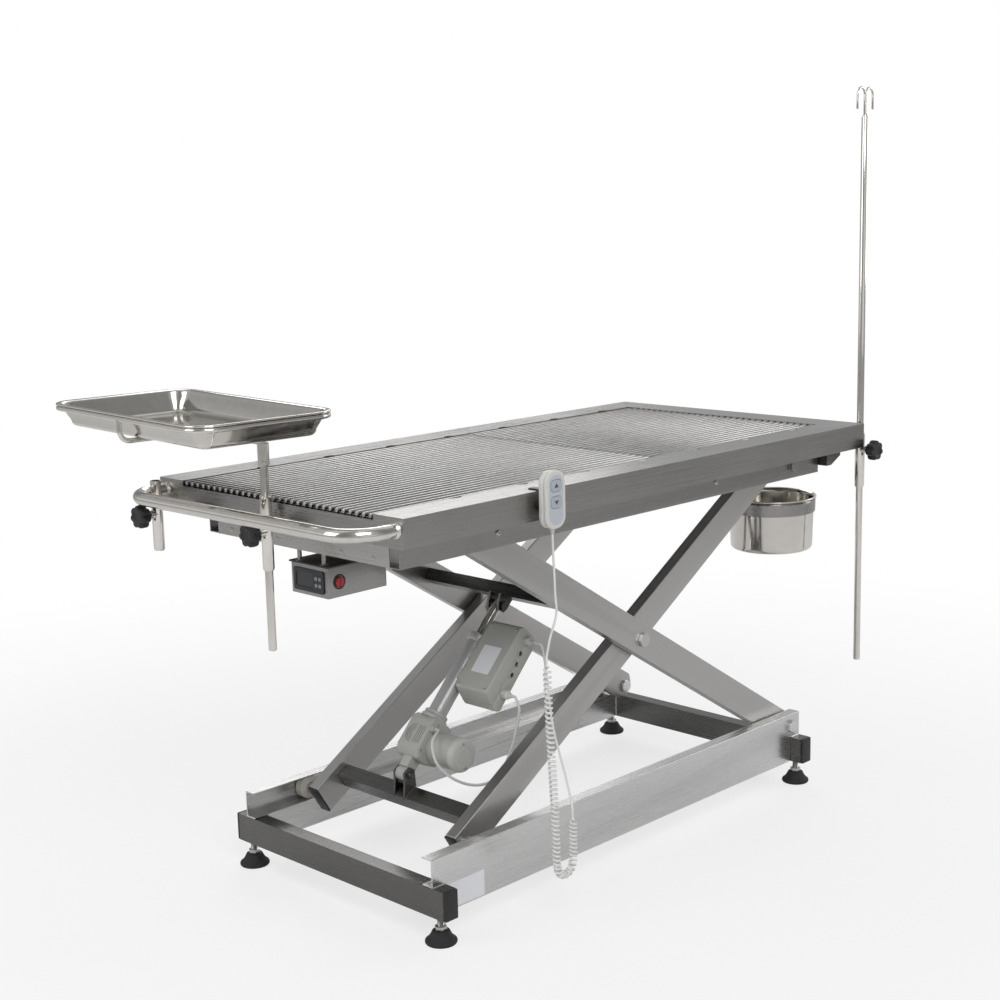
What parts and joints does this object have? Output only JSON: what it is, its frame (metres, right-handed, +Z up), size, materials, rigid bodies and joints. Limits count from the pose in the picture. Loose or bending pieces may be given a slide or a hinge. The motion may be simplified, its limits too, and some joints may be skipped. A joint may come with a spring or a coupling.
{
  "type": "veterinary exam table",
  "caption": "Stainless steel veterinary exam table on an electric scissor lift, with bar grates over a drain pan, end handle, IV pole, instrument tray, bucket and corded handset.",
  "frame": {"origin": "on the floor, under the middle of the box round everything but the cords", "axes": "+X along the tabletop towards the IV pole end, +Y away from the handset side, +Z up"},
  "size_m": [1.5228, 0.8114, 1.4428],
  "materials": {
    "black_plastic": "matt",
    "black_rubber": "matt",
    "brushed_steel": "brushed",
    "cable_white": "matt",
    "cord_grey": "matt",
    "dark_panel": "gloss",
    "grey_plastic": "fine grain",
    "key_grey": "matt",
    "nylon": "matt",
    "polished_steel": "bright",
    "red_plastic": "gloss",
    "tube_grey": "satin",
    "white_plastic": "satin",
    "zinc_steel": "zinc plated"
  },
  "bodies": {
    "base": {"base_rail_front": "brushed_steel", "base_rail_back": "brushed_steel", "base_cross_tube_left": "brushed_steel", "base_cross_tube_right": "brushed_steel"},
    "outer_arms": {"outer_arm_front": "brushed_steel", "outer_arm_back": "brushed_steel", "outer_cross_tube": "brushed_steel", "centre_pivot_bolt_front": "zinc_steel", "centre_pivot_bolt_back": "zinc_steel"},
    "inner_arms": {"inner_arm_front": "brushed_steel", "inner_arm_back": "brushed_steel", "inner_cross_tube": "brushed_steel"},
    "actuator": {"actuator_housing": "grey_plastic", "motor_end_cap": "grey_plastic", "actuator_tube": "tube_grey", "control_box": "grey_plastic", "handset_plug": "grey_plastic", "motor_plug": "white_plastic", "motor_cable": "cable_white", "cord_lower": "cord_grey"},
    "actuator_rod": {"actuator_rod": "polished_steel"},
    "top": {"tabletop_frame": "brushed_steel", "drain_pan": "brushed_steel", "top_rail_front": "brushed_steel", "top_rail_back": "brushed_steel", "top_end_channel_left": "brushed_steel", "top_end_channel_right": "brushed_steel", "end_handle": "polished_steel", "socket_middle": "brushed_steel", "socket_corner": "brushed_steel", "socket_pole": "brushed_steel", "bucket_ring": "brushed_steel", "thermostat_box": "brushed_steel", "thermostat_panel": "dark_panel", "handset_hook": "black_plastic", "handset_body": "white_plastic", "cord_upper": "cord_grey", "cord_curl": "cord_grey"},
    "grate_left": {"grate_left": "polished_steel"},
    "grate_right": {"grate_right": "polished_steel"},
    "knob_middle": {"knob_middle": "black_plastic"},
    "knob_corner": {"knob_corner": "black_plastic"},
    "knob_pole": {"knob_pole": "black_plastic"},
    "iv_pole": {"iv_pole": "polished_steel"},
    "tray_post": {"tray_post": "polished_steel"},
    "tray_frame": {"tray_frame": "polished_steel"},
    "tray": {"tray": "polished_steel"},
    "bucket": {"bucket": "polished_steel"},
    "power_rocker": {"power_rocker": "red_plastic"},
    "handset_key_up": {"handset_key_up": "key_grey"},
    "handset_key_down": {"handset_key_down": "key_grey"},
    "levelling_foot_back_left": {"levelling_foot_back_left": "black_rubber"},
    "levelling_foot_back_right": {"levelling_foot_back_right": "black_rubber"},
    "levelling_foot_front_left": {"levelling_foot_front_left": "black_rubber"},
    "levelling_foot_front_right": {"levelling_foot_front_right": "black_rubber"},
    "roller_base_back": {"roller_base_back": "nylon"},
    "roller_base_front": {"roller_base_front": "nylon"},
    "roller_top_back": {"roller_top_back": "nylon"},
    "roller_top_front": {"roller_top_front": "nylon"}
  },
  "joints": [
    {"name": "lift", "type": "hinge", "parent": "base", "child": "outer_arms", "pos_m": [0.56225, -0.0472, 0.12565], "axis": [0, 1, 0], "range_deg": [-7, 17], "deforming": ["cord_upper", "cord_curl", "cord_lower"]},
    {"name": "scissor_centre", "type": "hinge", "parent": "outer_arms", "child": "inner_arms", "pos_m": [0.10914, -0.0472, 0.40441], "axis": [0, 1, 0], "range_deg": [-35, 15]},
    {"name": "top_level", "type": "hinge", "parent": "inner_arms", "child": "top", "pos_m": [0.56225, -0.0472, 0.68317], "axis": [0, 1, 0], "range_deg": [-8, 18]},
    {"name": "actuator_tilt", "type": "hinge", "parent": "inner_arms", "child": "actuator", "pos_m": [-0.30817, -0.0472, 0.19817], "axis": [0, 1, 0], "range_deg": [-2.83, 1.26]},
    {"name": "actuator_stroke", "type": "slide", "parent": "actuator", "child": "actuator_rod", "axis": [0.6857, 0, 0.7279], "range_m": [-0.0433, 0.1011]},
    {"name": "levelling_foot_back_left_screw", "type": "slide", "parent": "base", "child": "levelling_foot_back_left", "axis": [0, 0, 1], "range_m": [-0.015, 0.012]},
    {"name": "levelling_foot_back_right_screw", "type": "slide", "parent": "base", "child": "levelling_foot_back_right", "axis": [0, 0, 1], "range_m": [-0.015, 0.012]},
    {"name": "levelling_foot_front_left_screw", "type": "slide", "parent": "base", "child": "levelling_foot_front_left", "axis": [0, 0, 1], "range_m": [-0.015, 0.012]},
    {"name": "levelling_foot_front_right_screw", "type": "slide", "parent": "base", "child": "levelling_foot_front_right", "axis": [0, 0, 1], "range_m": [-0.015, 0.012]},
    {"name": "roller_base_back_spin", "type": "hinge", "parent": "inner_arms", "child": "roller_base_back", "pos_m": [-0.34398, 0.1943, 0.12565], "axis": [0, 1, 0], "continuous": true},
    {"name": "roller_base_front_spin", "type": "hinge", "parent": "inner_arms", "child": "roller_base_front", "pos_m": [-0.34398, -0.2887, 0.12565], "axis": [0, 1, 0], "continuous": true},
    {"name": "roller_top_back_spin", "type": "hinge", "parent": "outer_arms", "child": "roller_top_back", "pos_m": [-0.34398, 0.1943, 0.68317], "axis": [0, 1, 0], "continuous": true},
    {"name": "roller_top_front_spin", "type": "hinge", "parent": "outer_arms", "child": "roller_top_front", "pos_m": [-0.34398, -0.2887, 0.68317], "axis": [0, 1, 0], "continuous": true},
    {"name": "knob_middle_turn", "type": "hinge", "parent": "top", "child": "knob_middle", "pos_m": [-0.63075, -0.0532, 0.70182], "axis": [-1, 0, 0], "range_deg": [0, 360]},
    {"name": "knob_corner_turn", "type": "hinge", "parent": "top", "child": "knob_corner", "pos_m": [-0.65275, 0.2328, 0.70182], "axis": [-1, 0, 0], "range_deg": [0, 360]},
    {"name": "knob_pole_turn", "type": "hinge", "parent": "top", "child": "knob_pole", "pos_m": [0.73086, -0.3842, 0.70182], "axis": [0, -1, 0], "range_deg": [0, 360]},
    {"name": "iv_pole_height", "type": "slide", "parent": "top", "child": "iv_pole", "axis": [0, 0, 1], "range_m": [-0.1, 0.3]},
    {"name": "tray_post_height", "type": "slide", "parent": "top", "child": "tray_post", "axis": [0, 0, 1], "range_m": [-0.045, 0.12]},
    {"name": "tray_swing", "type": "hinge", "parent": "tray_post", "child": "tray_frame", "pos_m": [-0.60074, -0.0532, 0.84], "axis": [0, 0, 1], "range_deg": [-170, 170]},
    {"name": "tray_lift_out", "type": "slide", "parent": "tray_frame", "child": "tray", "axis": [0, 0, 1], "range_m": [0, 0.12]},
    {"name": "bucket_lift_out", "type": "slide", "parent": "top", "child": "bucket", "axis": [0, 0, 1], "range_m": [0, 0.025]},
    {"name": "grate_left_lift_out", "type": "slide", "parent": "top", "child": "grate_left", "axis": [0, 0, 1], "range_m": [0, 0.05]},
    {"name": "grate_right_lift_out", "type": "slide", "parent": "top", "child": "grate_right", "axis": [0, 0, 1], "range_m": [0, 0.05]},
    {"name": "power_rocker_tilt", "type": "hinge", "parent": "top", "child": "power_rocker", "pos_m": [-0.49274, -0.1052, 0.60382], "axis": [0, 0, 1], "range_deg": [0, 14]},
    {"name": "handset_key_up_press", "type": "slide", "parent": "top", "child": "handset_key_up", "axis": [0, 1, 0], "range_m": [0, 0.001], "stiffness_N_per_m": 800},
    {"name": "handset_key_down_press", "type": "slide", "parent": "top", "child": "handset_key_down", "axis": [0, 1, 0], "range_m": [0, 0.001], "stiffness_N_per_m": 800}
  ],
  "couplings": [
    {"joint": "scissor_centre", "follows": "lift", "ratio": -2},
    {"joint": "top_level", "follows": "lift", "ratio": 1},
    {"joint": "actuator_tilt", "follows": "lift", "ratio": -0.15711},
    {"joint": "actuator_stroke", "follows": "lift", "m_per_rad": 0.33086}
  ]
}
